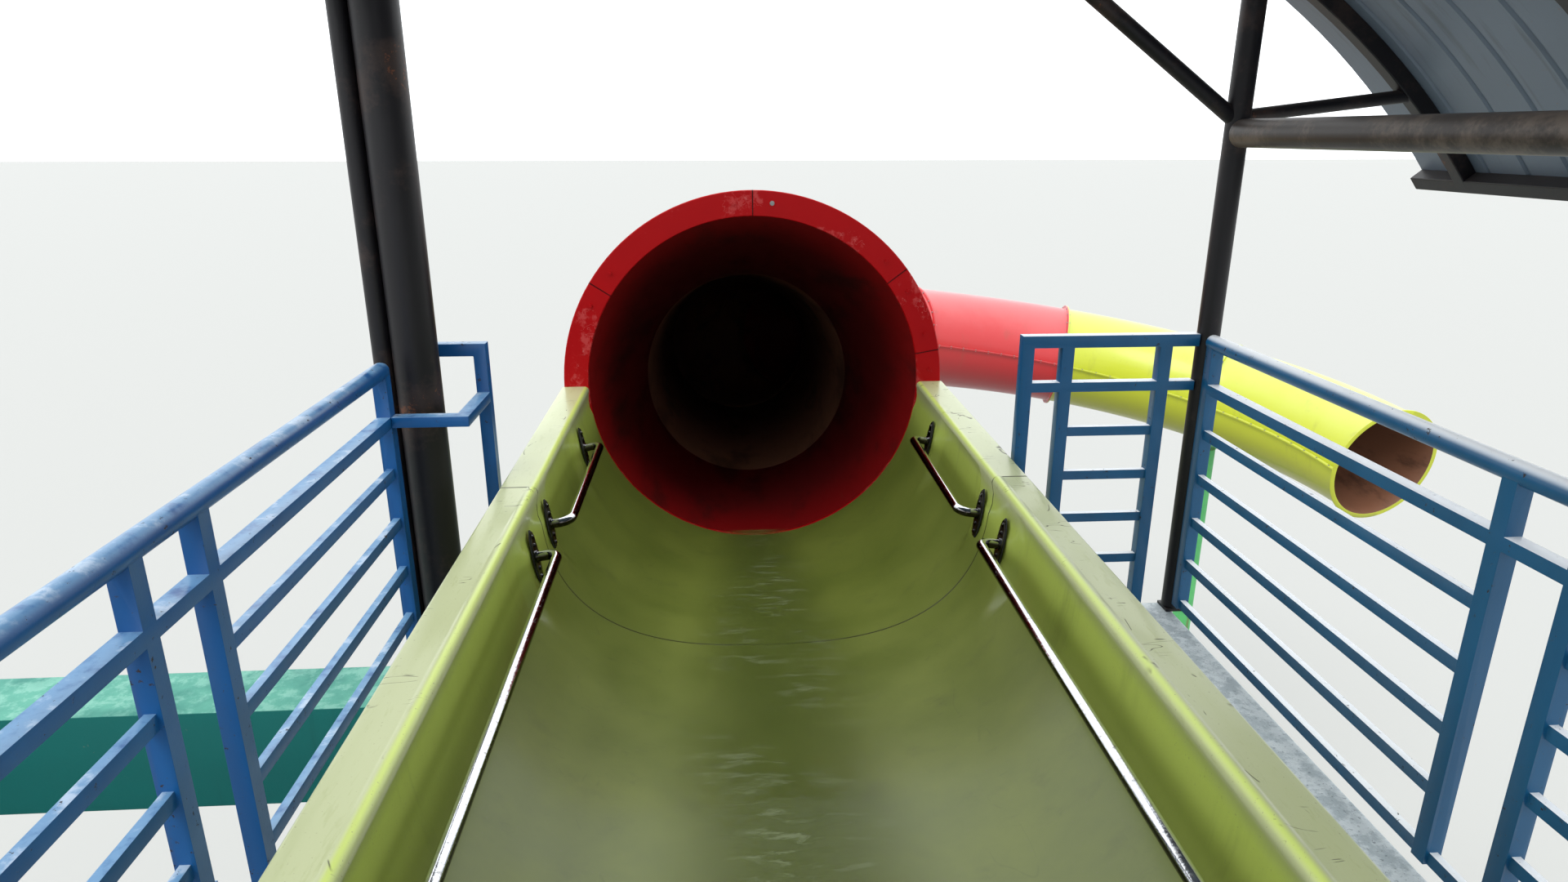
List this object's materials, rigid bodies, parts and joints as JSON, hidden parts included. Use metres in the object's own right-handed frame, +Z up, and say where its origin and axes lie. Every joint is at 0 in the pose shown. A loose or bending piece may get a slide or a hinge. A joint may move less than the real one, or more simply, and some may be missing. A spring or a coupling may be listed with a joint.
{
  "type": "water slide tower",
  "caption": "Open concrete tower with a stair, a railed launch deck under a barrel roof, a start tub and a curved enclosed water slide flume on posts.",
  "frame": {"origin": "middle of the ground the part covers, at ground level", "axes": "+Z up; +Y the way a rider leaves the start tub; +X to that rider's right, the side the flume turns to"},
  "size_m": [12.342, 17.0844, 11.5221],
  "materials": {
    "painted_concrete": "matt teal paint on cast concrete",
    "concrete": "float finished concrete, matt and speckled",
    "blue_steel": "gloss paint worn pale on the tops",
    "black_steel": "satin",
    "green_steel": "satin",
    "pale_gelcoat": "glossy gelcoat over glass fibre, lightly scratched",
    "red_gelcoat": "glossy gelcoat over glass fibre",
    "yellow_gelcoat": "glossy gelcoat over glass fibre",
    "chrome": "polished",
    "roof_sheet": "satin, blue grey"
  },
  "bodies": {
    "root": {"front_frame": "painted_concrete", "rear_frame": "painted_concrete", "left_beam_1": "painted_concrete", "middle_beam_1": "painted_concrete", "right_beam_1": "painted_concrete", "left_beam_2": "painted_concrete", "middle_beam_2": "painted_concrete", "right_beam_2": "painted_concrete", "stair_flight_1": "concrete", "stair_flight_2": "concrete", "stair_flight_3": "concrete", "stair_flight_4": "concrete", "deck_slab": "concrete", "right_railing": "blue_steel", "left_railing": "blue_steel", "left_railing_return": "blue_steel", "front_railing": "blue_steel", "rear_railing": "blue_steel", "landing_railing_side": "blue_steel", "landing_railing_front": "blue_steel", "lower_landing_railing": "blue_steel", "stair_railing_1_left": "blue_steel", "stair_railing_1_front": "blue_steel", "stair_railing_1_right": "blue_steel", "well_railing_1": "blue_steel", "stair_railing_2_left": "blue_steel", "stair_railing_2_front": "blue_steel", "stair_railing_2_right": "blue_steel", "well_railing_2": "blue_steel", "tub_rear": "pale_gelcoat", "tub_front": "pale_gelcoat", "short_handle_left": "chrome", "grab_rail_left": "chrome", "short_handle_right": "chrome", "grab_rail_right": "chrome", "mouth_ring": "red_gelcoat", "flare": "red_gelcoat", "flume_section_1": "yellow_gelcoat", "flume_section_2": "yellow_gelcoat", "flume_section_3": "red_gelcoat", "flume_section_4": "red_gelcoat", "flume_section_5": "yellow_gelcoat", "flume_section_6": "yellow_gelcoat", "flume_post_1": "green_steel", "flume_post_2": "green_steel", "flume_post_3": "green_steel", "flume_post_4": "green_steel", "roof_ribs": "black_steel", "roof_sheet": "roof_sheet", "roof_post_front_right": "black_steel", "roof_post_rear_right": "black_steel", "roof_post_front_left": "black_steel", "roof_post_rear_left": "black_steel", "roof_bearer_right": "black_steel", "roof_bearer_left": "black_steel", "roof_side_pipe": "black_steel", "roof_brace": "black_steel", "roof_outrigger": "black_steel", "drain_pipe": "black_steel"}
  },
  "joints": []
}
